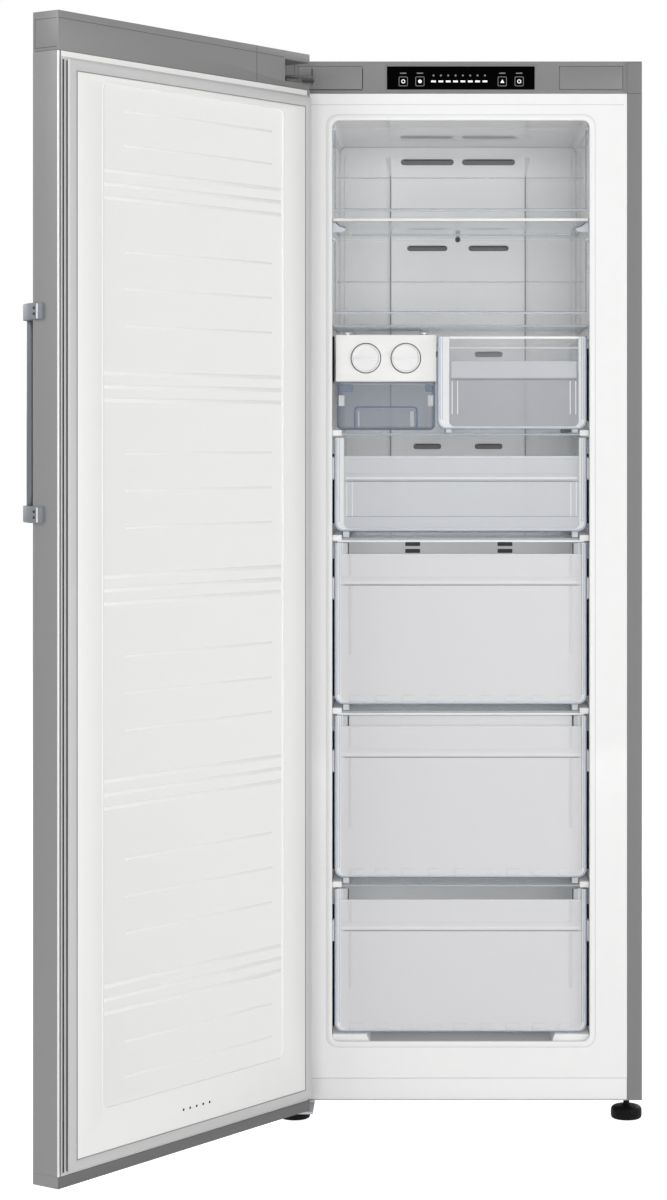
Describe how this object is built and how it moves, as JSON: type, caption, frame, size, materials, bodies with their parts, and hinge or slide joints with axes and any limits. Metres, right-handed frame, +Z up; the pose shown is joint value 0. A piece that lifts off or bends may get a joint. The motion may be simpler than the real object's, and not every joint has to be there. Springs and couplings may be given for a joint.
{
  "type": "upright freezer",
  "caption": "Tall upright freezer with its hinged door standing open, glass shelves, clear drawers, two lift-up flaps and a twist ice maker.",
  "frame": {"origin": "middle of the footprint of the cabinet and its open door, on the floor", "axes": "+X right as seen from the front, +Y from the front of the cabinet to its back, +Z up"},
  "size_m": [0.957, 1.1096, 1.743],
  "materials": {
    "brushed_steel": "brushed stainless sheet",
    "silver_paint": "satin grey-silver paint",
    "zinc_steel": "zinc-plated sheet",
    "grey_plastic": "satin moulded plastic",
    "white_plastic": "satin moulded plastic",
    "cool_white_plastic": "satin moulded plastic",
    "dark_lens": "polished",
    "circuit_board": "lacquered",
    "black_plastic": "satin moulded plastic",
    "black_enamel": "glossy black enamel",
    "grey_rubber": "soft extruded profile",
    "foam": null,
    "aluminium": "bare",
    "handle_metal": "satin",
    "shelf_glass": "polished, clear",
    "clear_plastic": "clear",
    "frosted_plastic": "lightly frosted, clear"
  },
  "bodies": {
    "cabinet": {"side_panel_left": "silver_paint", "side_panel_right": "silver_paint", "top_panel": "silver_paint", "rear_panel": "zinc_steel", "base_plate": "zinc_steel", "kick_panel": "white_plastic", "cabinet_foam": "foam", "inner_liner": "white_plastic", "control_fascia": "grey_plastic", "control_lens": "dark_lens", "control_board": "circuit_board", "hinge_cover_left": "grey_plastic", "hinge_cover_right": "grey_plastic", "top_hinge": "zinc_steel", "bottom_hinge": "zinc_steel", "glass_shelf_1": "shelf_glass", "glass_shelf_2": "shelf_glass", "glass_shelf_3": "shelf_glass", "glass_shelf_4": "shelf_glass", "glass_shelf_5": "shelf_glass", "glass_shelf_6": "shelf_glass", "air_duct_cover": "cool_white_plastic", "evaporator_cover": "cool_white_plastic", "evaporator": "aluminium", "defrost_heater": "aluminium", "fan_motor": "black_plastic", "compressor": "black_enamel", "drip_tray": "black_plastic", "compressor_cover": "zinc_steel", "power_inlet": "black_plastic", "ice_maker_rail": "white_plastic"},
    "door": {"door_skin": "brushed_steel", "door_foam": "foam", "door_liner": "white_plastic", "door_gasket": "grey_rubber", "door_top_cap": "grey_plastic", "door_bottom_cap": "grey_plastic", "door_bush_upper": "black_plastic", "door_bush_lower": "black_plastic", "handle_bar": "handle_metal", "handle_bracket_lower": "handle_metal", "handle_bracket_upper": "handle_metal"},
    "upper_flap": {"flap_upper": "clear_plastic"},
    "lower_flap": {"flap_lower": "clear_plastic"},
    "ice_maker": {"ice_maker_housing": "white_plastic"},
    "ice_twist_left": {"ice_knob_left": "white_plastic", "ice_tray_left": "clear_plastic"},
    "ice_twist_right": {"ice_knob_right": "white_plastic", "ice_tray_right": "clear_plastic"},
    "ice_bin_body": {"ice_bin": "clear_plastic"},
    "small_drawer_body": {"small_drawer": "clear_plastic"},
    "shallow_drawer_body": {"shallow_drawer": "clear_plastic"},
    "large_drawer_body_1": {"large_drawer_1": "frosted_plastic"},
    "large_drawer_body_2": {"large_drawer_2": "frosted_plastic"},
    "large_drawer_body_3": {"large_drawer_3": "frosted_plastic"},
    "fan": {"fan_blade": "white_plastic"},
    "foot_body_left": {"foot_left": "black_plastic"},
    "foot_body_right": {"foot_right": "black_plastic"},
    "roller_body_left": {"roller_left": "black_plastic"},
    "roller_body_right": {"roller_right": "black_plastic"}
  },
  "joints": [
    {"name": "door_swing", "type": "hinge", "parent": "cabinet", "child": "door", "pos_m": [-0.10359, -0.0582, 0.033], "axis": [0, 0, -1], "range_deg": [-125.4, 14.6]},
    {"name": "upper_flap_lift", "type": "hinge", "parent": "cabinet", "child": "upper_flap", "pos_m": [0.17991, 0.0328, 1.634], "axis": [-1, 0, 0], "range_deg": [0, 90]},
    {"name": "lower_flap_lift", "type": "hinge", "parent": "cabinet", "child": "lower_flap", "pos_m": [0.17991, 0.0328, 1.451], "axis": [-1, 0, 0], "range_deg": [0, 90]},
    {"name": "ice_maker_slide", "type": "slide", "parent": "cabinet", "child": "ice_maker", "axis": [0, -1, 0], "range_m": [0, 0.2]},
    {"name": "ice_twist_left_turn", "type": "hinge", "parent": "ice_maker", "child": "ice_twist_left", "pos_m": [0.02316, 0.0428, 1.25435], "axis": [0, 1, 0], "range_deg": [0, 120], "stiffness_Nm_per_rad": 0.12, "springref_deg": -5.73},
    {"name": "ice_twist_right_turn", "type": "hinge", "parent": "ice_maker", "child": "ice_twist_right", "pos_m": [0.08936, 0.0428, 1.25435], "axis": [0, 1, 0], "range_deg": [0, 120], "stiffness_Nm_per_rad": 0.12, "springref_deg": -5.73},
    {"name": "ice_bin_slide", "type": "slide", "parent": "cabinet", "child": "ice_bin_body", "axis": [0, -1, 0], "range_m": [0, 0.2]},
    {"name": "small_drawer_slide", "type": "slide", "parent": "cabinet", "child": "small_drawer_body", "axis": [0, -1, 0], "range_m": [0, 0.3]},
    {"name": "shallow_drawer_slide", "type": "slide", "parent": "cabinet", "child": "shallow_drawer_body", "axis": [0, -1, 0], "range_m": [0, 0.3]},
    {"name": "large_drawer_slide_1", "type": "slide", "parent": "cabinet", "child": "large_drawer_body_1", "axis": [0, -1, 0], "range_m": [0, 0.2]},
    {"name": "large_drawer_slide_2", "type": "slide", "parent": "cabinet", "child": "large_drawer_body_2", "axis": [0, -1, 0], "range_m": [0, 0.2]},
    {"name": "large_drawer_slide_3", "type": "slide", "parent": "cabinet", "child": "large_drawer_body_3", "axis": [0, -1, 0], "range_m": [0, 0.2]},
    {"name": "fan_spin", "type": "hinge", "parent": "cabinet", "child": "fan", "pos_m": [0.17991, 0.3278, 0.833], "axis": [0, 1, 0], "continuous": true},
    {"name": "foot_left_screw", "type": "hinge", "parent": "cabinet", "child": "foot_body_left", "pos_m": [-0.09369, 0.0228, 0], "axis": [0, 0, 1], "continuous": true},
    {"name": "roller_left_spin", "type": "hinge", "parent": "cabinet", "child": "roller_body_left", "pos_m": [-0.08209, 0.5128, 0.017], "axis": [1, 0, 0], "continuous": true},
    {"name": "foot_right_screw", "type": "hinge", "parent": "cabinet", "child": "foot_body_right", "pos_m": [0.45351, 0.0228, 0], "axis": [0, 0, 1], "continuous": true},
    {"name": "roller_right_spin", "type": "hinge", "parent": "cabinet", "child": "roller_body_right", "pos_m": [0.44191, 0.5128, 0.017], "axis": [1, 0, 0], "continuous": true}
  ]
}
